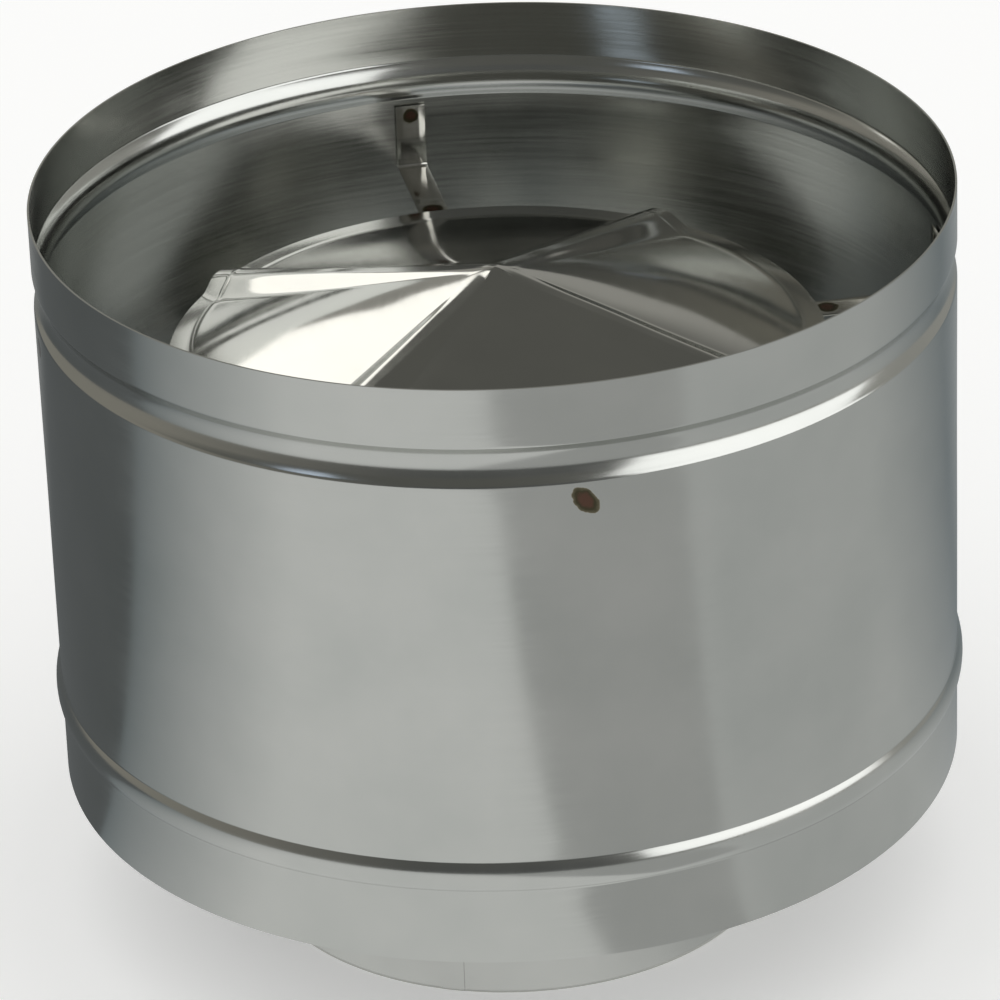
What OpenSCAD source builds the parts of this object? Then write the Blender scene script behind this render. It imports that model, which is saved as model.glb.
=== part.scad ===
// Barrel chimney cowl in stainless sheet.
// An open barrel stands round a flue spigot, with a shallow rain cap inside its mouth.
// Frame: +Z up, origin at the middle of the spigot's lower edge, front towards -Y.

/* [Flue spigot] */
// Outer diameter of the flue pipe that the spigot slides over
flue_d = 200; // [150:1:230]
// Gap between the flue pipe and the spigot, on the radius
flue_clear = 0.3; // [0.2:0.05:0.5]
// Wall of the spigot pipe
spigot_t = 0.8; // [0.6:0.1:1.2]
// Width of the spigot's lap seam
seam_w = 9; // [6:0.5:14]
// Direction of the spigot's lap seam, seen from above
seam_az = 255; // [245:1:265]

/* [Diffuser] */
// Inside diameter of the diffuser's mouth
diffuser_d = 250; // [238:1:256]
// Height of the diffuser's flare
diffuser_h = 46; // [36:1:56]
// Height of the collar that laps over the spigot
collar_h = 10; // [8:1:14]
// Gap between the stays' legs and the collar
collar_gap = 3; // [2:0.5:6]
// Sheet of the diffuser
diffuser_t = 0.8; // [0.6:0.1:1.2]
// Height of the flat hem round the diffuser's mouth
hem_h = 5; // [3:0.5:8]
// Sheet that the hem adds outside the mouth
hem_t = 0.8; // [0.5:0.1:1.2]

/* [Barrel] */
// Outside diameter of the barrel
barrel_d = 350; // [340:1:370]
// Height of the barrel
barrel_h = 236; // [226:1:256]
// Sheet of the barrel
barrel_t = 0.8; // [0.6:0.1:1.2]
// Height of the barrel's lower edge above the spigot's lower edge
barrel_lift = 59; // [52:1:62]

/* [Swages] */
// Distance from the barrel's top edge to the middle of the upper swage
groove_drop = 31; // [24:0.5:33]
// Height of the upper swage, which is rolled inwards
groove_w = 15.5; // [10:0.5:18]
// Depth of the upper swage
groove_deep = 3.4; // [2:0.1:4]
// Distance from the barrel's lower edge to the middle of the lower swage
bead_rise = 36.5; // [33:0.5:44]
// Height of the lower swage, which is rolled outwards
bead_w = 11.5; // [8:0.5:15]
// How far the lower swage stands out
bead_out = 2.2; // [1.5:0.1:3]

/* [Rain cap] */
// Diameter of the rain cap
cap_d = 252; // [240:1:262]
// Height of the cap's cone
cap_rise = 33; // [28:0.5:37]
// Distance from the barrel's top edge down to the cap's flange
cap_drop = 67.5; // [62:0.5:76]
// Width of the flat flange round the cap
flange_w = 8; // [6:0.5:10]
// Sheet of the cap
cap_t = 0.8; // [0.6:0.1:1.2]
// Height of a stiffening rib at the cap's edge
rib_h = 4.6; // [3:0.1:6]
// Width of a rib's flat top
rib_top = 8; // [6:0.5:12]
// Slope of a rib's sides, from level
rib_slope = 32; // [26:1:45]
// How far a rib's top line passes under the apex, so that it rises out of the cone
rib_sink = 0.75; // [0.6:0.05:1.5]

/* [Cap brackets] */
// Direction of the first cap bracket, seen from above
bracket_az = 10.6; // [6:0.2:16]
// Width of a bracket's strap
bracket_w = 12; // [10:0.5:16]
// Thickness of a bracket's strap
bracket_t = 1; // [0.8:0.1:1.5]
// Gap between a bracket's leg and the upper swage
bracket_gap = 2.5; // [1:0.5:6]
// Inner radius of a bracket's bend
bracket_r = 1.5; // [1:0.1:2.5]

/* [Stays] */
// Direction of the first stay between the spigot and the barrel
stay_az = 55.6; // [50:0.2:62]
// Width of a stay
stay_w = 22; // [14:1:28]
// Thickness of a stay
stay_t = 1.5; // [1:0.1:2]
// Height of a stay's underside above the barrel's lower edge
stay_rise = 6; // [4:0.5:8]
// Height of a stay's leg on the barrel
stay_outer_h = 20; // [14:0.5:22]
// Height of a stay's leg on the spigot
stay_inner_h = 18; // [12:0.5:24]
// Inner radius of a stay's bends
stay_r = 2; // [1.5:0.1:3]

/* [Seams] */
// Gap between curved sheets that are lapped or welded together
seat_gap = 0.15; // [0.1:0.05:0.3]

/* [Hidden] */
$fn = 96;
// Facets of the large rounds
round_fn = 360;
// Overshoot of cutting tools
over = 1;
// Quarter turn between neighbouring brackets, stays and ribs
quarter = 90;
// Directions of the four ribs, as they were pressed by hand
rib_azs = [58, 149, 232, 331];

stay_z = barrel_lift + stay_rise;
spigot_in = flue_d / 2 + flue_clear;
spigot_out = spigot_in + spigot_t;
collar_in = spigot_out + seat_gap;
collar_out = collar_in + diffuser_t;
mouth_in = diffuser_d / 2;
mouth_out = mouth_in + diffuser_t;
collar_z = stay_z + stay_inner_h + collar_gap;
spigot_h = collar_z + collar_h;
mouth_z = spigot_h + diffuser_h;

barrel_r = barrel_d / 2;
barrel_in = barrel_r - barrel_t;
// Outermost radius of what is welded inside the barrel
seat_r = barrel_in - seat_gap;
barrel_top = barrel_lift + barrel_h;
groove_z = barrel_top - groove_drop;
bead_z = barrel_lift + bead_rise;
// Radius of a swage's arc from its height and its depth
function arc_r(w, deep) = (w * w / 4 + deep * deep) / (2 * deep);
groove_r = arc_r(groove_w, groove_deep);
bead_r = arc_r(bead_w, bead_out);
// Half height of the upper swage where it meets the barrel's inner face
groove_half = sqrt(pow(groove_r + barrel_t, 2) - pow(groove_r - groove_deep + barrel_t, 2));

cap_r = cap_d / 2;
cap_z = barrel_top - cap_drop;
cone_r = cap_r - flange_w;
cone_slope = atan(cap_rise / cone_r);
// A rib's top runs from below the apex to the rib's height above the flange
rib_fall = atan((cap_rise - rib_sink - rib_h) / cap_r);
// Distance from the axis at which a rib starts, still under the cone's surface
rib_start = rib_top * 3 / 4;
rib_deep = rib_h + 4 * cap_t;
rib_side = rib_deep / tan(rib_slope);

run_z = cap_z - cap_t;
leg_z = groove_z - groove_half - bracket_gap;

// Ring of sheet from one radius to another, between two heights
module band(r0, r1, z0, z1) {
    translate([0, 0, z0])
        difference() {
            cylinder(h = z1 - z0, r = r1, $fn = round_fn);
            translate([0, 0, -over])
                cylinder(h = z1 - z0 + 2 * over, r = r0, $fn = round_fn);
        }
}

// Pipe that slides over the flue, with its lap seam
module spigot_pipe() {
    seam_turn = seam_w / spigot_out * 180 / PI;
    color("silver") {
        band(spigot_in, spigot_out, 0, spigot_h);
        rotate([0, 0, seam_az - seam_turn / 2])
            rotate_extrude(angle = seam_turn, $fn = round_fn)
                translate([spigot_out - spigot_t / 2, 0])
                    square([spigot_t * 1.5, collar_z - spigot_t]);
    }
}

// Flared throat on the spigot, with a hem round its mouth
module diffuser_cone() {
    color("silver")
        rotate_extrude()
            polygon([
                [collar_in, collar_z],
                [collar_out, collar_z],
                [collar_out, spigot_h],
                [mouth_out, mouth_z - hem_h],
                [mouth_out + hem_t, mouth_z - hem_h],
                [mouth_out + hem_t, mouth_z],
                [mouth_in, mouth_z],
                [mouth_in, mouth_z - hem_h],
                [collar_in, spigot_h]
            ]);
}

// Half section of the barrel, filled to the axis, at a distance inside its outer face
module barrel_section(inset, grow) {
    difference() {
        union() {
            translate([0, barrel_lift - grow])
                square([barrel_r - inset, barrel_h + 2 * grow]);
            translate([barrel_r + bead_out - bead_r, bead_z])
                circle(r = bead_r - inset);
        }
        translate([barrel_r - groove_deep + groove_r, groove_z])
            circle(r = groove_r + inset);
    }
}

// Open barrel with the inward swage above and the outward swage below
module barrel_shell() {
    color("lightgray")
        rotate_extrude()
            difference() {
                barrel_section(0, 0);
                barrel_section(barrel_t, over);
            }
}

// One rib: a flat-topped ridge from the apex out past the cap's edge
module rib_solid() {
    translate([0, 0, cap_rise - rib_sink])
        rotate([0, 90 + rib_fall, 0])
            rotate([0, 0, 90])
                translate([0, 0, rib_start])
                    linear_extrude(height = cap_r)
                        polygon([
                            [-rib_top / 2, 0],
                            [rib_top / 2, 0],
                            [rib_top / 2 + rib_side, -rib_deep],
                            [-rib_top / 2 - rib_side, -rib_deep]
                        ]);
}

// Cone and ribs, filled underneath, at a height
module cap_solid(z) {
    translate([0, 0, z]) {
        cylinder(h = cap_rise, r1 = cone_r, r2 = 0, $fn = round_fn);
        for (az = rib_azs)
            rotate([0, 0, az])
                rib_solid();
    }
}

// Shallow conical cap with four pressed ribs and a flat flange
module rain_cap() {
    color("gainsboro")
        difference() {
            intersection() {
                union() {
                    cap_solid(cap_z);
                    translate([0, 0, cap_z - cap_t])
                        cylinder(h = cap_t, r = cap_r + over, $fn = round_fn);
                }
                translate([0, 0, cap_z - cap_t])
                    cylinder(h = 2 * cap_rise, r = cap_r, $fn = round_fn);
            }
            cap_solid(cap_z - cap_t);
        }
}

// Strap cut from a side view, its outer end bent to the barrel's wall
module strap(turn, width) {
    rotate([0, 0, turn])
        intersection() {
            rotate([90, 0, 0])
                translate([0, 0, -width / 2])
                    linear_extrude(height = width)
                        children();
            cylinder(h = barrel_top, r = seat_r, $fn = round_fn);
        }
}

// Sheet bent at a right angle: level run, upright leg, rounded inside and outside
module angle_section(run, leg, t, r) {
    difference() {
        union() {
            translate([-run, 0])
                square([run, t]);
            translate([-t, 0])
                square([t, leg]);
            translate([-t - r, t])
                difference() {
                    square([r, r]);
                    translate([0, r])
                        circle(r = r);
                }
        }
        translate([-t - r, 0])
            difference() {
                translate([0, -over])
                    square([t + r + over, t + r + over]);
                translate([0, t + r])
                    circle(r = t + r);
            }
    }
}

// Angle strap from the barrel wall to the underside of the cap's flange
module cap_bracket(turn) {
    color("silver")
        strap(bracket_az + turn * quarter, bracket_w)
            translate([seat_r, run_z - bracket_t])
                angle_section(seat_r - cone_r, leg_z - run_z + bracket_t, bracket_t, bracket_r);
}

// Channel strap that carries the barrel on the spigot
module stay(turn) {
    inner_r = spigot_out + seat_gap;
    half_run = (seat_r - inner_r) / 2;
    color("silver")
        difference() {
            strap(stay_az + turn * quarter, stay_w) {
                translate([seat_r, stay_z])
                    angle_section(half_run + over, stay_outer_h, stay_t, stay_r);
                translate([inner_r - over, stay_z])
                    mirror([1, 0])
                        angle_section(half_run + 2 * over, stay_inner_h, stay_t + over, stay_r);
            }
            translate([0, 0, -over])
                cylinder(h = barrel_top, r = inner_r, $fn = round_fn);
        }
}

spigot_pipe();
diffuser_cone();
barrel_shell();
rain_cap();
cap_bracket(0);  // cap_bracket_right
cap_bracket(1);  // cap_bracket_rear
cap_bracket(2);  // cap_bracket_left
cap_bracket(3);  // cap_bracket_front
stay(0);  // stay_rear_right
stay(1);  // stay_rear_left
stay(2);  // stay_front_left
stay(3);  // stay_front_right
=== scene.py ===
"""Barrel chimney cowl in bright annealed stainless sheet.

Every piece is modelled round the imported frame: the barrel with its rolled swages, the spigot
with its lap seam, the flared throat, the pressed rain cap, its angle straps and the stays.
"""
import math

import bmesh
import bpy
from mathutils import Matrix, Vector


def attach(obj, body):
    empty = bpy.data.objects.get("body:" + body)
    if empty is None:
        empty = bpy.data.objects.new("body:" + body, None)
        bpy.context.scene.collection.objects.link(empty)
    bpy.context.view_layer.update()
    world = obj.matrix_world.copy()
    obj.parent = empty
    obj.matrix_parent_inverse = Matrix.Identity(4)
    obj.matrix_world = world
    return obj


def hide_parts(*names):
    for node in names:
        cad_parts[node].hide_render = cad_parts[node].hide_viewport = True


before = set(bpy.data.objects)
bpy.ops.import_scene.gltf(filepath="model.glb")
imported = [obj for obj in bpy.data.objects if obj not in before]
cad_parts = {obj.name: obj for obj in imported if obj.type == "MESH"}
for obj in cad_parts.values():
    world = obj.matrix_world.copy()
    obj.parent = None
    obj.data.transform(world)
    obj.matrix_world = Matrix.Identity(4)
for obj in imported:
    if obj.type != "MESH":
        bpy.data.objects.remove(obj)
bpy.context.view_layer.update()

# sizes, as in the part's source

MM = 0.001
SHEET = 0.8 * MM
BARREL_R = 174.85 * MM
BARREL_LOW, BARREL_TOP = 59.1 * MM, 294.9 * MM
GROOVE_Z, GROOVE_HALF, GROOVE_DEEP = 264 * MM, 8.6 * MM, 3.4 * MM
BEAD_Z, BEAD_HALF, BEAD_OUT = 95.5 * MM, 6.6 * MM, 2.1 * MM
SPIGOT_IN, SPIGOT_T = 100.3 * MM, 0.8 * MM
COLLAR_Z, COLLAR_TOP, MOUTH_Z = 86 * MM, 96 * MM, 142 * MM
COLLAR_IN, MOUTH_IN = 101.25 * MM, 125 * MM
CAP_R, CONE_R, CAP_Z, CAP_RISE = 125.9 * MM, 118 * MM, 227.5 * MM, 33 * MM
RIB_AZ = (58, 149, 232, 331)
BRACKET_AZ, BRACKET_W, BRACKET_T = 10.6, 12 * MM, 1 * MM
STAY_AZ, STAY_W, STAY_T, STAY_Z = 55.6, 22 * MM, 1.5 * MM, 65 * MM
WELD_Z = 249 * MM
LIP = 0.6 * MM  # the last stretch before a sheet's edge


# modelling by hand

def begin(shape, **settings):
    """Adds one primitive, with nothing else selected, and opens it for shaping."""
    if bpy.context.mode != "OBJECT":
        bpy.ops.object.mode_set(mode="OBJECT")
    bpy.ops.object.select_all(action="DESELECT")
    getattr(bpy.ops.mesh, f"primitive_{shape}_add")(**settings)
    bpy.ops.object.mode_set(mode="EDIT")
    return bpy.context.object


def pick(kind, test):
    """Selects what passes a test on its middle: faces, edges or verts of the open piece."""
    mode = {"faces": "FACE", "edges": "EDGE", "verts": "VERT"}[kind]
    bpy.ops.mesh.select_mode(type=mode)
    bpy.ops.mesh.select_all(action="DESELECT")
    mesh = bmesh.from_edit_mesh(bpy.context.object.data)
    for part in getattr(mesh, kind):
        if kind == "faces":
            middle = part.calc_center_median()
        elif kind == "edges":
            middle = (part.verts[0].co + part.verts[1].co) / 2
        else:
            middle = part.co
        part.select_set(test(middle, part))
    mesh.select_flush_mode()
    bmesh.update_edit_mesh(bpy.context.object.data)


def outward(test):
    """Turns all faces over if one of them passes a test for looking the wrong way."""
    mesh = bmesh.from_edit_mesh(bpy.context.object.data)
    mesh.normal_update()
    for face in mesh.faces:
        if test(face):
            bpy.ops.mesh.select_all(action="SELECT")
            bpy.ops.mesh.flip_normals()
            return


def looks_in(face):
    middle = face.calc_center_median()
    return face.normal.xy.length > 0.3 and middle.xy.dot(face.normal.xy) < 0


def draw_up(rings, sides):
    """Draws a circle up through rings of radius and height, as on a spinning lathe."""
    wide, high = rings[0]
    piece = begin("circle", radius=wide, vertices=sides, fill_type="NOTHING",
                  location=(0, 0, 0))
    bpy.ops.mesh.select_all(action="SELECT")
    bpy.ops.transform.translate(value=(0, 0, high))
    for next_wide, next_high in rings[1:]:
        bpy.ops.mesh.extrude_edges_move(
            TRANSFORM_OT_translate={"value": (0, 0, next_high - high)})
        grow = next_wide / wide
        bpy.ops.transform.resize(value=(grow, grow, 1), center_override=(0, 0, next_high))
        wide, high = next_wide, next_high
    bpy.ops.mesh.select_all(action="SELECT")
    return piece


def close(piece, name):
    """Ends the shaping and leaves the piece's place in its mesh."""
    if bpy.context.mode != "OBJECT":
        bpy.ops.object.mode_set(mode="OBJECT")
    bpy.ops.object.select_all(action="DESELECT")
    piece.select_set(True)
    bpy.context.view_layer.objects.active = piece
    bpy.ops.object.transform_apply(location=True, rotation=True, scale=True)
    piece.name = piece.data.name = name
    return piece


def machine(piece, kind, **settings):
    """Adds a modifier and applies it at once."""
    work = piece.modifiers.new(kind.lower(), kind)
    for key, value in settings.items():
        setattr(work, key, value)
    bpy.ops.object.select_all(action="DESELECT")
    piece.select_set(True)
    bpy.context.view_layer.objects.active = piece
    bpy.ops.object.modifier_apply(modifier=work.name)


def waves(piece, size, deep, seed=0.0, group=""):
    """Gives sheet its hand-rolled unevenness: slow waves of a size and a depth."""
    noise = bpy.data.textures.new(piece.name + "_waves", "CLOUDS")
    noise.noise_scale = size
    noise.noise_depth = 1
    noise.noise_basis = "ORIGINAL_PERLIN"
    piece.data.transform(Matrix.Translation((0, 0, seed)))
    machine(piece, "DISPLACE", texture=noise, strength=deep, mid_level=0.5,
            texture_coords="LOCAL", vertex_group=group)
    piece.data.transform(Matrix.Translation((0, 0, -seed)))


def smooth(piece, angle=35):
    bpy.ops.object.select_all(action="DESELECT")
    piece.select_set(True)
    bpy.context.view_layer.objects.active = piece
    bpy.ops.object.shade_smooth_by_angle(angle=math.radians(angle))


def dress(piece, material, slot, *nodes):
    """Gives a finished piece its material, its body and the CAD nodes it stands for."""
    piece.data.materials.clear()
    piece.data.materials.append(material)
    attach(piece, "root")
    if nodes:
        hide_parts(*nodes)


def copied(piece, name, turn):
    """A copy of a piece, with its own mesh, turned about the part's axis."""
    twin = bpy.data.objects.new(name, piece.data.copy())
    twin.data.name = name
    bpy.context.scene.collection.objects.link(twin)
    twin.data.transform(Matrix.Rotation(math.radians(turn), 4, "Z"))
    return twin


# materials

def linear(hex_colour):
    """sRGB hex to the linear colour that a node takes."""
    parts = [int(hex_colour[i:i + 2], 16) / 255 for i in (1, 3, 5)]
    return tuple(c / 12.92 if c <= 0.04045 else ((c + 0.055) / 1.055) ** 2.4
                 for c in parts) + (1.0,)


def add(tree, kind, links=None, **settings):
    """Adds a node with its settings; links maps an input to a value or to an output."""
    node = tree.nodes.new(kind)
    for key, value in settings.items():
        setattr(node, key, value)
    for key, value in (links or {}).items():
        if isinstance(value, bpy.types.NodeSocket):
            tree.links.new(value, node.inputs[key])
        else:
            node.inputs[key].default_value = value
    return node


def ramp(tree, source, *stops):
    """A colour ramp over a source, from pairs of place and hex colour or grey level."""
    node = add(tree, "ShaderNodeValToRGB", {"Fac": source})
    marks = node.color_ramp.elements
    while len(marks) < len(stops):
        marks.new(0.5)
    for mark, (place, tone) in zip(marks, stops):
        mark.position = place
        mark.color = linear(tone) if isinstance(tone, str) else (tone, tone, tone, 1)
    return node


def new_material(name):
    made = bpy.data.materials.new(name)
    made.use_nodes = True
    tree = made.node_tree
    shader = tree.nodes["Principled BSDF"]
    place = add(tree, "ShaderNodeTexCoord").outputs["Object"]
    return made, tree, shader, place


def bright_annealed(name, tone, rough, spots=()):
    """Bright annealed stainless sheet: cold rolled and annealed without scale, so it mirrors
    like a slightly breathed-on glass, with faint rolling lines and handling smudges."""
    made, tree, shader, place = new_material(name)
    # smudges of hands and gloves, 30 to 60 mm across
    smudge = add(tree, "ShaderNodeTexNoise", {"Vector": place, "Scale": 22.0, "Detail": 4.0,
                                              "Roughness": 0.55})
    # rolling lines run round the barrel: real ones are 0.05 mm apart, drawn 1 mm apart to show
    flat = add(tree, "ShaderNodeMapping", {"Vector": place, "Scale": (14.0, 14.0, 900.0)})
    lines = add(tree, "ShaderNodeTexNoise", {"Vector": flat.outputs["Vector"], "Scale": 1.0,
                                             "Detail": 3.0})
    both = add(tree, "ShaderNodeMath", {0: smudge.outputs["Fac"], 1: lines.outputs["Fac"]},
               operation="ADD")
    half = add(tree, "ShaderNodeMath", {0: both.outputs[0], 1: 0.5}, operation="MULTIPLY")
    gloss = ramp(tree, half.outputs[0], (0.36, rough * 0.8), (0.62, rough * 1.25))
    tree.links.new(gloss.outputs["Color"], shader.inputs["Roughness"])
    shade = ramp(tree, smudge.outputs["Fac"], (0.3, tone[0]), (0.7, tone[1]))
    colour = shade.outputs["Color"]
    for spot in spots:
        colour = heat_tint(tree, place, colour, spot)
    tree.links.new(colour, shader.inputs["Base Color"])
    shader.inputs["Metallic"].default_value = 1.0
    bump = add(tree, "ShaderNodeBump", {"Height": lines.outputs["Fac"], "Strength": 0.04,
                                        "Distance": 0.0002})
    tree.links.new(bump.outputs["Normal"], shader.inputs["Normal"])
    return made


def heat_tint(tree, place, under, spot):
    """The oxide colours of a spot weld: grey-brown in the middle, olive, then straw at the rim.
    A spot is its middle, its long axis and its half length and half width in metres."""
    middle, along, half_long, half_wide = spot
    step = add(tree, "ShaderNodeVectorMath", {0: place, 1: middle}, operation="SUBTRACT")
    run = add(tree, "ShaderNodeVectorMath", {0: step.outputs[0], 1: along},
              operation="DOT_PRODUCT")
    whole = add(tree, "ShaderNodeVectorMath", {0: step.outputs[0]}, operation="LENGTH")
    run2 = add(tree, "ShaderNodeMath", {0: run.outputs["Value"], 1: 2.0}, operation="POWER")
    whole2 = add(tree, "ShaderNodeMath", {0: whole.outputs["Value"], 1: 2.0}, operation="POWER")
    side2 = add(tree, "ShaderNodeMath", {0: whole2.outputs[0], 1: run2.outputs[0]},
                operation="SUBTRACT")
    long_part = add(tree, "ShaderNodeMath", {0: run2.outputs[0], 1: half_long ** -2},
                    operation="MULTIPLY")
    far = add(tree, "ShaderNodeMath", {0: side2.outputs[0], 1: half_wide ** -2,
                                       2: long_part.outputs[0]}, operation="MULTIPLY_ADD")
    # the tint's edge is ragged at about 2 mm
    ragged = add(tree, "ShaderNodeTexNoise", {"Vector": place, "Scale": 420.0, "Detail": 2.0})
    edge = add(tree, "ShaderNodeMath", {0: ragged.outputs["Fac"], 1: 0.9, 2: far.outputs[0]},
               operation="MULTIPLY_ADD")
    scaled = add(tree, "ShaderNodeMath", {0: edge.outputs[0], 1: 0.5}, operation="MULTIPLY")
    ring = ramp(tree, scaled.outputs[0], (0.35, "#6E5448"), (0.62, "#54503F"),
                (0.9, "#7A7460"), (1.0, "#B4AC98"))
    cover = ramp(tree, scaled.outputs[0], (0.0, 1.0), (0.95, 1.0), (1.0, 0.0))
    mix = add(tree, "ShaderNodeMix", {0: cover.outputs["Color"], 6: under,
                                      7: ring.outputs["Color"]}, data_type="RGBA")
    return mix.outputs[2]


def round_spot(az, radius, z, half=3.2 * MM):
    a = math.radians(az)
    return ((radius * math.cos(a), radius * math.sin(a), z), (0.0, 0.0, 1.0), half, half)


WALL_SPOTS = [round_spot(BRACKET_AZ + 90 * k, 174.4 * MM, WELD_Z) for k in range(3)]
# the front bracket's weld shows outside as a slanting double spot
FRONT = math.radians(BRACKET_AZ + 270 - 1.0)
slant = Vector((math.cos(math.radians(10)) * 0.62, 0.11, -0.78)).normalized()
WALL_SPOTS.append(((175 * MM * math.cos(FRONT), 175 * MM * math.sin(FRONT), 248.6 * MM),
                   tuple(slant), 5.2 * MM, 3.2 * MM))

barrel_steel = bright_annealed("bright_annealed_stainless_barrel", ("#C4C6C2", "#CCCDC9"), 0.17,
                               WALL_SPOTS)
cap_steel = bright_annealed("bright_annealed_stainless_cap", ("#C9C9C5", "#D0D0CB"), 0.09)
spigot_steel = bright_annealed("bright_annealed_stainless_spigot", ("#C0C1BD", "#C9CAC6"), 0.15)
strap_steel = bright_annealed(
    "bright_annealed_stainless_strap", ("#C6C5BF", "#CFCEC8"), 0.12,
    [round_spot(BRACKET_AZ + 90 * k, 173 * MM, WELD_Z, 2.6 * MM) for k in range(4)]
    + [round_spot(BRACKET_AZ + 90 * k, 129.5 * MM, 227.5 * MM, 3.6 * MM) for k in range(4)])


# barrel

def swage(middle, half, out, fillet, parts=5):
    """Offsets of a rolled swage from below: fillet, arc and fillet, each tangent to the next."""
    turn = 2 * math.atan2(abs(out), half)
    arc = half / math.sin(turn) - fillet
    side = 1 if out > 0 else -1
    legs = [(fillet, 0, turn)] + [(arc, turn, -turn)] + [(fillet, -turn, 0)]
    points, wide, high = [(0.0, middle - half)], 0.0, middle - half
    for radius, first, last in legs:
        count = parts * 2 if radius == arc else parts
        for i in range(count):
            a = first + (last - first) * (i + 0.5) / count
            step = radius * abs(last - first) / count
            wide += side * step * math.sin(a)
            high += step * math.cos(a)
            points.append((wide, high))
    return points


def even(low, high, pitch):
    """Heights between two ends, both left out, at most a pitch apart."""
    count = max(1, math.ceil((high - low) / pitch))
    return [low + (high - low) * i / count for i in range(1, count)]


bead = swage(BEAD_Z, BEAD_HALF, BEAD_OUT, 1.6 * MM)
groove = swage(GROOVE_Z, GROOVE_HALF, -GROOVE_DEEP, 2.2 * MM)
profile = [(0.0, BARREL_LOW), (0.0, BARREL_LOW + LIP)]
profile += [(0.0, z) for z in even(BARREL_LOW + LIP, bead[0][1], 8 * MM)]
profile += bead
profile += [(0.0, z) for z in even(bead[-1][1], groove[0][1], 8 * MM)]
profile += groove
profile += [(0.0, z) for z in even(groove[-1][1], BARREL_TOP - LIP, 6 * MM)]
profile += [(0.0, BARREL_TOP - LIP), (0.0, BARREL_TOP)]

barrel = draw_up([(BARREL_R + out, z) for out, z in profile], 360)
outward(looks_in)
close(barrel, "barrel")
waves(barrel, 0.11, 0.5 * MM)
machine(barrel, "SOLIDIFY", thickness=SHEET, offset=-1.0, use_even_offset=True)
smooth(barrel)
dress(barrel, barrel_steel, "barrel_sheet", "barrel_shell")


# spigot and its throat

SPIGOT_OUT = SPIGOT_IN + SPIGOT_T
spigot_rings = [(SPIGOT_OUT, z) for z in
                [0.1 * MM, LIP] + even(LIP, COLLAR_TOP - LIP, 8 * MM)
                + [COLLAR_TOP - LIP, COLLAR_TOP]]
spigot = draw_up(spigot_rings, 288)
outward(looks_in)
close(spigot, "spigot")
waves(spigot, 0.06, 0.3 * MM, seed=0.4)
machine(spigot, "SOLIDIFY", thickness=SPIGOT_T, offset=-1.0, use_even_offset=True)
smooth(spigot)
dress(spigot, spigot_steel, "spigot_sheet", "spigot_pipe")

# the lap: the sheet's outer end, which covers its inner end down the pipe's length
LAP_AZ, LAP_W, LAP_TOP = 255, 9 * MM, 85.2 * MM
lap = begin("plane", size=1.0)
bpy.ops.transform.resize(value=(LAP_W, LAP_TOP - 0.3 * MM, 1))
bpy.ops.transform.rotate(value=-math.pi / 2, orient_axis="X", center_override=(0, 0, 0))
bpy.ops.mesh.subdivide(number_cuts=9)
bpy.ops.transform.translate(value=(0, 0, LAP_TOP / 2 + 0.1 * MM))
close(lap, "spigot_lap")
LAP_R = SPIGOT_OUT + 0.5 * MM
for corner in lap.data.vertices:
    a = math.radians(LAP_AZ) + corner.co.x / SPIGOT_OUT
    corner.co.x = LAP_R * math.cos(a)
    corner.co.y = LAP_R * math.sin(a)
bpy.ops.object.mode_set(mode="EDIT")
bpy.ops.mesh.select_all(action="SELECT")
outward(looks_in)
bpy.ops.object.mode_set(mode="OBJECT")
machine(lap, "SOLIDIFY", thickness=0.45 * MM, offset=-1.0)
machine(lap, "BEVEL", width=0.2 * MM, segments=2, limit_method="ANGLE")
smooth(lap)
dress(lap, spigot_steel, "spigot_sheet")

# the throat: collar, flare and a folded hem
HEM, FLARE_STEPS = 5 * MM, 12
COLLAR_OUT, MOUTH_OUT = COLLAR_IN + SHEET, MOUTH_IN + SHEET
throat_rings = [(COLLAR_OUT, COLLAR_Z), (COLLAR_OUT, COLLAR_Z + LIP),
                (COLLAR_OUT, COLLAR_TOP - 1.5 * MM), (COLLAR_OUT + 0.3 * MM, COLLAR_TOP)]
for i in range(1, FLARE_STEPS):
    t = i / FLARE_STEPS
    throat_rings.append((COLLAR_OUT + (MOUTH_IN - COLLAR_IN) * t,
                         COLLAR_TOP + (MOUTH_Z - HEM - COLLAR_TOP) * t))
throat_rings += [(MOUTH_OUT - 0.3 * MM, MOUTH_Z - HEM),
                 (MOUTH_OUT, MOUTH_Z - HEM + 1 * MM), (MOUTH_OUT, MOUTH_Z)]
throat = draw_up(throat_rings, 240)
outward(looks_in)
close(throat, "diffuser_throat")
machine(throat, "SOLIDIFY", thickness=SHEET, offset=-1.0, use_even_offset=True)
smooth(throat)
dress(throat, spigot_steel, "spigot_sheet", "diffuser_cone")

hem = draw_up([(MOUTH_OUT + 0.05 * MM, MOUTH_Z - 0.1 * MM),
               (MOUTH_OUT + 0.45 * MM, MOUTH_Z),
               (MOUTH_OUT + 0.75 * MM, MOUTH_Z - 0.4 * MM),
               (MOUTH_OUT + 0.75 * MM, MOUTH_Z - HEM + 0.3 * MM),
               (MOUTH_OUT + 0.45 * MM, MOUTH_Z - HEM),
               (MOUTH_OUT + 0.05 * MM, MOUTH_Z - HEM + 0.1 * MM)], 240)
close(hem, "diffuser_hem")
bpy.ops.object.mode_set(mode="EDIT")
pick("edges", lambda m, e: e.is_boundary)
bpy.ops.mesh.bridge_edge_loops()
bpy.ops.mesh.select_all(action="SELECT")
bpy.ops.mesh.normals_make_consistent(inside=False)
close(hem, "diffuser_hem")
smooth(hem)
dress(hem, spigot_steel, "spigot_sheet")


# rain cap

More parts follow.
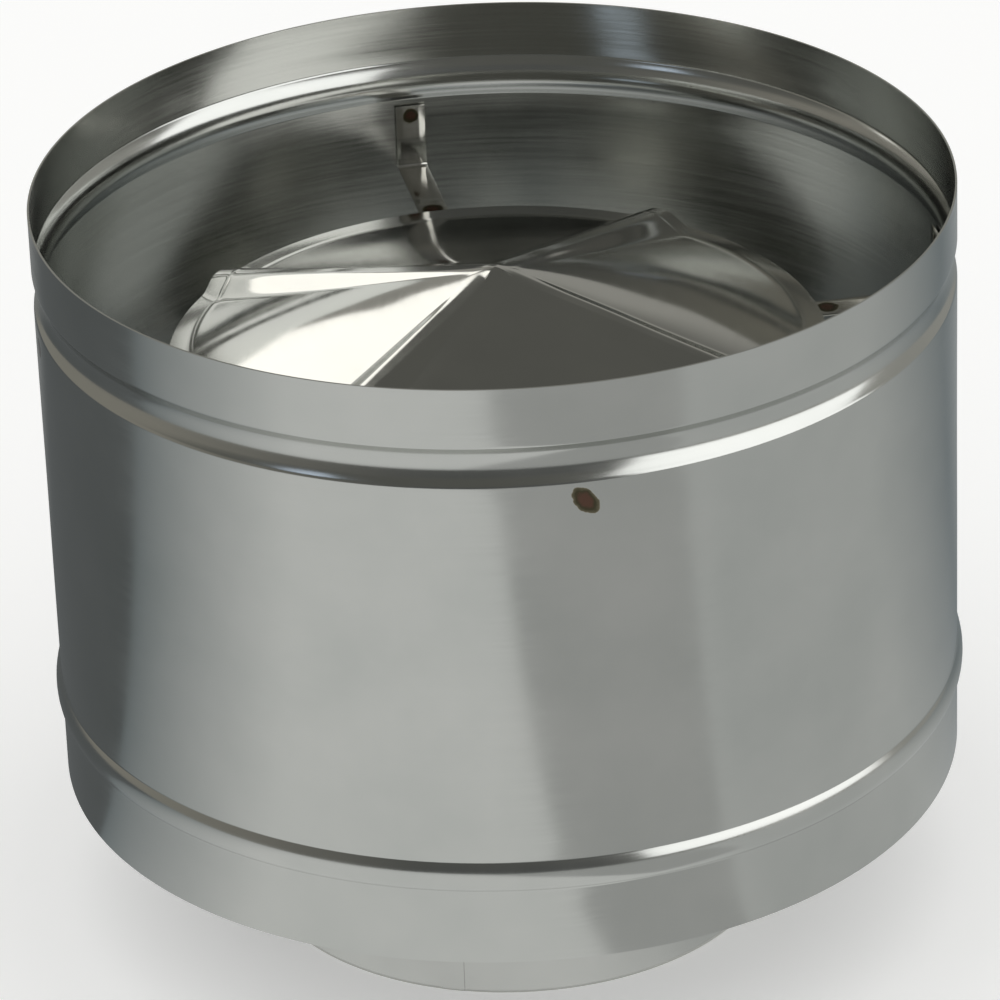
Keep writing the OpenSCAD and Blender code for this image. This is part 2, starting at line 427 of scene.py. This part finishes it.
def soft_min(a, b, reach):
    """The smaller of two values, with the corner between them rounded over a reach."""
    mix = max(reach - abs(a - b), 0.0) / reach
    return min(a, b) - mix * mix * reach / 4


RIB_TALL, RIB_HALF, RIB_SLOPE, RIB_SINK = 4.6 * MM, 4 * MM, math.radians(32), 0.75 * MM


def cone_height(r):
    return max(CAP_RISE * (1 - r / CONE_R), 0.0)


def rib_height(x, y):
    """How far the press lifts the sheet over the cone at a place, for the four ribs."""
    r = math.hypot(x, y)
    best = 0.0
    for az in RIB_AZ:
        a = math.radians(az)
        along = x * math.cos(a) + y * math.sin(a)
        if along <= 0:
            continue
        aside = abs(-x * math.sin(a) + y * math.cos(a))
        top = CAP_RISE - RIB_SINK - along * (CAP_RISE - RIB_SINK - RIB_TALL) / CAP_R
        tall = top - cone_height(r)
        flank = tall - (aside - RIB_HALF) * math.tan(RIB_SLOPE)
        lift = soft_min(tall, flank, 1.2 * MM)
        best = max(best, -soft_min(0.0, -lift, 1.2 * MM))
    return best


cap_rings = [(CAP_R, 0.0), (CAP_R - 0.5 * MM, 0.0)]
cap_rings += [(r, 0.0) for r in (CAP_R - 3 * MM, CAP_R - 6 * MM)]
# the fold between flange and cone, rounded over a reach to each side
FOLD, FOLD_STEPS = 1.8 * MM, 3
for i in range(-FOLD_STEPS, FOLD_STEPS + 1):
    r = CONE_R + i * FOLD / FOLD_STEPS
    cap_rings.append((r, CAP_RISE / CONE_R * (CONE_R + FOLD - r) ** 2 / (4 * FOLD)))
cap_rings.sort(reverse=True)
CONE_STEPS = 62
for i in range(1, CONE_STEPS):
    r = (CONE_R - FOLD) * (1 - i / CONE_STEPS)
    cap_rings.append((r, cone_height(r)))
cap = draw_up([(r, CAP_Z + z) for r, z in cap_rings], 480)
pick("edges", lambda m, e: e.is_boundary and m.xy.length < 5 * MM)
bpy.ops.mesh.extrude_edges_move(
    TRANSFORM_OT_translate={"value": (0, 0, CAP_RISE - 0.15 * MM - cap_rings[-1][1])})
bpy.ops.mesh.merge(type="CENTER")
bpy.ops.mesh.select_all(action="SELECT")
outward(lambda f: f.normal.z < 0)
close(cap, "rain_cap_pressed")
press = cap.vertex_groups.new(name="press")
deepest = 8 * MM
for corner in cap.data.vertices:
    lift = rib_height(corner.co.x, corner.co.y)
    if lift > 0:
        press.add([corner.index], lift / deepest, "REPLACE")
machine(cap, "DISPLACE", direction="Z", strength=deepest, mid_level=0.0, vertex_group="press")
cap.vertex_groups.clear()
waves(cap, 0.05, 0.7 * MM, seed=1.3)
machine(cap, "SOLIDIFY", thickness=SHEET, offset=-1.0, use_even_offset=True)
smooth(cap, 50)
dress(cap, cap_steel, "cap_sheet", "rain_cap")


# cap brackets and stays

def strap(width, corners, bend, cuts=3):
    """A strap laid through corners (distance from the axis, height), its bends rounded."""
    (out, high), rest = corners[0], corners[1:]
    piece = begin("plane", size=1.0)
    pick("verts", lambda m, v: m.x > 0)
    bpy.ops.mesh.delete(type="VERT")
    bpy.ops.mesh.select_all(action="SELECT")
    bpy.ops.transform.resize(value=(1, width, 1))
    bpy.ops.transform.translate(value=(out + 0.5, 0, high))
    for next_out, next_high in rest:
        bpy.ops.mesh.extrude_edges_move(
            TRANSFORM_OT_translate={"value": (next_out - out, 0, next_high - high)})
        out, high = next_out, next_high
    inner = corners[1:-1]
    pick("edges", lambda m, e: abs(m.y) < 1e-6 and any(
        abs(m.x - o) < 1e-5 and abs(m.z - h) < 1e-5 for o, h in inner))
    bpy.ops.mesh.bevel(offset=bend, offset_type="OFFSET", segments=8, affect="EDGES")
    bpy.ops.mesh.select_all(action="SELECT")
    mesh = bmesh.from_edit_mesh(piece.data)
    across = [e for e in mesh.edges if abs(e.verts[0].co.y - e.verts[1].co.y) > width / 2]
    bmesh.ops.subdivide_edges(mesh, edges=across, cuts=cuts)
    bmesh.update_edit_mesh(piece.data)
    return piece


LEG_TOP, RUN_Z = 253.2 * MM, CAP_Z - SHEET - 0.05 * MM
bracket = strap(BRACKET_W, [(118.5 * MM, RUN_Z - BRACKET_T / 2),
                            (172.95 * MM, RUN_Z - BRACKET_T / 2),
                            (172.95 * MM, LEG_TOP)], 2 * MM)
close(bracket, "bracket")
machine(bracket, "SOLIDIFY", thickness=BRACKET_T, offset=0.0, use_even_offset=True)
machine(bracket, "BEVEL", width=0.25 * MM, segments=2, limit_method="ANGLE",
        angle_limit=math.radians(50))
smooth(bracket, 40)
stay = strap(STAY_W, [(102.1 * MM, STAY_Z + 17.8 * MM), (102.1 * MM, STAY_Z + STAY_T / 2),
                      (172.6 * MM, STAY_Z + STAY_T / 2),
                      (172.6 * MM, STAY_Z + 19.8 * MM)], 2.7 * MM)
close(stay, "stay")
machine(stay, "SOLIDIFY", thickness=STAY_T, offset=0.0, use_even_offset=True)
machine(stay, "BEVEL", width=0.3 * MM, segments=2, limit_method="ANGLE",
        angle_limit=math.radians(50))
smooth(stay, 40)
for k, side in enumerate(("right", "rear", "left", "front")):
    dress(copied(bracket, f"bracket_{side}", BRACKET_AZ + 90 * k), strap_steel, "strap_sheet",
          f"cap_bracket_{side}")
for k, side in enumerate(("rear_right", "rear_left", "front_left", "front_right")):
    dress(copied(stay, f"carrier_{side}", STAY_AZ + 90 * k), strap_steel, "strap_sheet",
          f"stay_{side}")
for pattern in (bracket, stay):
    bpy.data.objects.remove(pattern)


# studio

def only_mirrored(made):
    """Lets the metal see a studio card, and keeps it from the camera, the light and shadows."""
    made.visible_camera = made.visible_diffuse = made.visible_shadow = False
    made.visible_transmission = made.visible_volume_scatter = False
    return made


def glow(name, stops=None, tone="#FFFFFF", strength=1.0):
    """A plain glowing card: one tone, or tones by direction round the object."""
    made = bpy.data.materials.new(name)
    made.use_nodes = True
    tree = made.node_tree
    tree.nodes.clear()
    light = add(tree, "ShaderNodeEmission", {"Color": linear(tone), "Strength": strength})
    if stops:
        place = add(tree, "ShaderNodeTexCoord").outputs["Object"]
        round_it = add(tree, "ShaderNodeTexGradient", {"Vector": place},
                       gradient_type="RADIAL")
        tree.links.new(ramp(tree, round_it.outputs["Fac"], *stops).outputs["Color"],
                       light.inputs["Color"])
    out = add(tree, "ShaderNodeOutputMaterial")
    tree.links.new(light.outputs[0], out.inputs["Surface"])
    return made


def flat_card(name, material, corners):
    data = bpy.data.meshes.new(name)
    data.from_pydata(corners, [], [tuple(range(len(corners)))])
    data.materials.append(material)
    made = bpy.data.objects.new(name, data)
    bpy.context.scene.collection.objects.link(made)
    return only_mirrored(made)


def softbox(name, az, low, high, tone, strength, reach=3.0):
    """A card that spans directions az[0] to az[1] (from the back, clockwise from above) and
    elevations low to high."""
    corners = []
    parts = 12
    for el, order in ((low, range(parts + 1)), (high, range(parts, -1, -1))):
        for i in order:
            a = math.radians(az[0] + (az[1] - az[0]) * i / parts)
            e = math.radians(el)
            corners.append((reach * math.cos(e) * math.sin(a), reach * math.cos(e) * math.cos(a),
                            0.25 + reach * math.sin(e)))
    return flat_card(name, glow(name, tone=tone, strength=strength), corners)


bpy.ops.object.select_all(action="DESELECT")
bpy.ops.mesh.primitive_plane_add(size=14, location=(0, 0, 0))
floor = bpy.context.object
floor.name = "floor"
paper = bpy.data.materials.new("studio_paper")
paper.use_nodes = True
tree = paper.node_tree
tree.nodes["Principled BSDF"].inputs["Base Color"].default_value = linear("#F2F2F0")
tree.nodes["Principled BSDF"].inputs["Roughness"].default_value = 0.9
tree.nodes["Principled BSDF"].inputs["Specular IOR Level"].default_value = 0.1
seen = add(tree, "ShaderNodeLightPath")
either = add(tree, "ShaderNodeMath", {0: seen.outputs["Is Camera Ray"],
                                      1: seen.outputs["Is Glossy Ray"]}, operation="MAXIMUM")
lift = add(tree, "ShaderNodeMath", {0: either.outputs[0], 1: 0.3}, operation="MULTIPLY")
tree.nodes["Principled BSDF"].inputs["Emission Color"].default_value = (1, 1, 1, 1)
tree.links.new(lift.outputs[0], tree.nodes["Principled BSDF"].inputs["Emission Strength"])
floor.data.materials.append(paper)

world = bpy.data.worlds.new("studio")
bpy.context.scene.world = world
world.use_nodes = True
sky = world.node_tree
seen = add(sky, "ShaderNodeLightPath")
either = add(sky, "ShaderNodeMath", {0: seen.outputs["Is Camera Ray"],
                                     1: seen.outputs["Is Glossy Ray"]}, operation="MAXIMUM")
level = add(sky, "ShaderNodeMath", {0: either.outputs[0], 1: 0.25, 2: 0.75},
            operation="MULTIPLY_ADD")
sky.links.new(level.outputs[0], sky.nodes["Background"].inputs["Strength"])
sky.nodes["Background"].inputs["Color"].default_value = (1, 1, 1, 1)

# a grey card on the floor, for the metal alone: light before the barrel, dim at its back
# corners. A place in the ramp is the direction, from -X (0) by -Y (0.25) and +X (0.5) to +Y.
FLOOR_LIGHT, FLOOR_SIDE, FLOOR_DIM, FLOOR_DARK = "#DADBDA", "#BBBDBC", "#7A8184", "#5E6162"
CARD_END, CARD_LIFT = 3.9, 1 * MM
flat_card("floor_card", glow("floor_card", [
    (0.0, FLOOR_DIM), (0.12, FLOOR_LIGHT), (0.3, FLOOR_LIGHT), (0.38, FLOOR_SIDE),
    (0.5, FLOOR_SIDE), (0.61, FLOOR_DIM), (0.75, FLOOR_SIDE), (0.87, FLOOR_DARK),
    (0.96, FLOOR_DARK)]),
    [(-CARD_END, -CARD_END, CARD_LIFT), (CARD_END, -CARD_END, CARD_LIFT),
     (CARD_END, CARD_END, CARD_LIFT), (-CARD_END, CARD_END, CARD_LIFT)])
# the shaded half of the floor, whose edge runs away from the barrel before its middle
SHADE_NEAR, SHADE_FAR, SHADE_LIFT = -0.18, -3.0, 1.5 * MM
flat_card("floor_shade", glow("floor_shade", tone="#AFB0AF"),
          [(0.0825, SHADE_NEAR, SHADE_LIFT), (-0.461, SHADE_FAR, SHADE_LIFT),
           (2.5, SHADE_FAR, SHADE_LIFT), (0.151, SHADE_NEAR, SHADE_LIFT)])

# the room: a dim tent with soft boxes at the right, behind at the left, and a cool window
bpy.ops.mesh.primitive_uv_sphere_add(segments=64, ring_count=32, radius=3.8,
                                     location=(0, 0, 0))
tent = bpy.context.object
tent.name = "tent"
CLOTH_WARM, CLOTH_DARK, CLOTH_PALE = "#8F8C84", "#5A5B5A", "#A1A09B"
cloth = glow("tent_cloth", [
    (0.0, CLOTH_WARM), (0.2, CLOTH_DARK), (0.3, CLOTH_DARK), (0.42, CLOTH_PALE),
    (0.74, CLOTH_PALE), (0.9, CLOTH_WARM)])
tree = cloth.node_tree
place = add(tree, "ShaderNodeTexCoord").outputs["Object"]
height = add(tree, "ShaderNodeSeparateXYZ", {"Vector": place})
band = add(tree, "ShaderNodeMapRange", {"Value": height.outputs["Z"], "From Min": 1.7,
                                        "From Max": 2.4}, interpolation_type="SMOOTHSTEP")
light = next(n for n in tree.nodes if n.type == "EMISSION")
side_tone = light.inputs["Color"].links[0].from_socket
both = add(tree, "ShaderNodeMix", {0: band.outputs["Result"], 6: side_tone,
                                   7: linear("#60605C")}, data_type="RGBA")
tree.links.new(both.outputs[2], light.inputs["Color"])
tent.data.materials.append(cloth)
only_mirrored(tent)
softbox("softbox_right", (85, 150), 2, 48, "#FFFFFF", 1.6)
softbox("softbox_back_left", (-60, -17), 22, 48, "#FFFDF8", 1.7)
softbox("window_left", (-134, -121), 37, 46, "#CBD8EA", 1.3)

# camera, at the photograph's angle

CAMERA_PLACE = Vector((0.0, -2.13964, 1.27010))
LOOK = Vector((-0.00056, 0.88775, -0.46032)).normalized()
ROLL = math.radians(2.166)
level = LOOK.cross(Vector((0, 0, 1))).normalized()
above = level.cross(LOOK)
right = level * math.cos(ROLL) - above * math.sin(ROLL)
up = level * math.sin(ROLL) + above * math.cos(ROLL)
bpy.ops.object.camera_add(location=CAMERA_PLACE)
camera = bpy.context.object
camera.rotation_euler = Matrix((right, up, -LOOK)).transposed().to_euler()
camera.data.sensor_width = 36
camera.data.lens = 224.59
camera.data.clip_end = 50
bpy.context.scene.camera = camera
bpy.context.scene.view_settings.view_transform = "Standard"
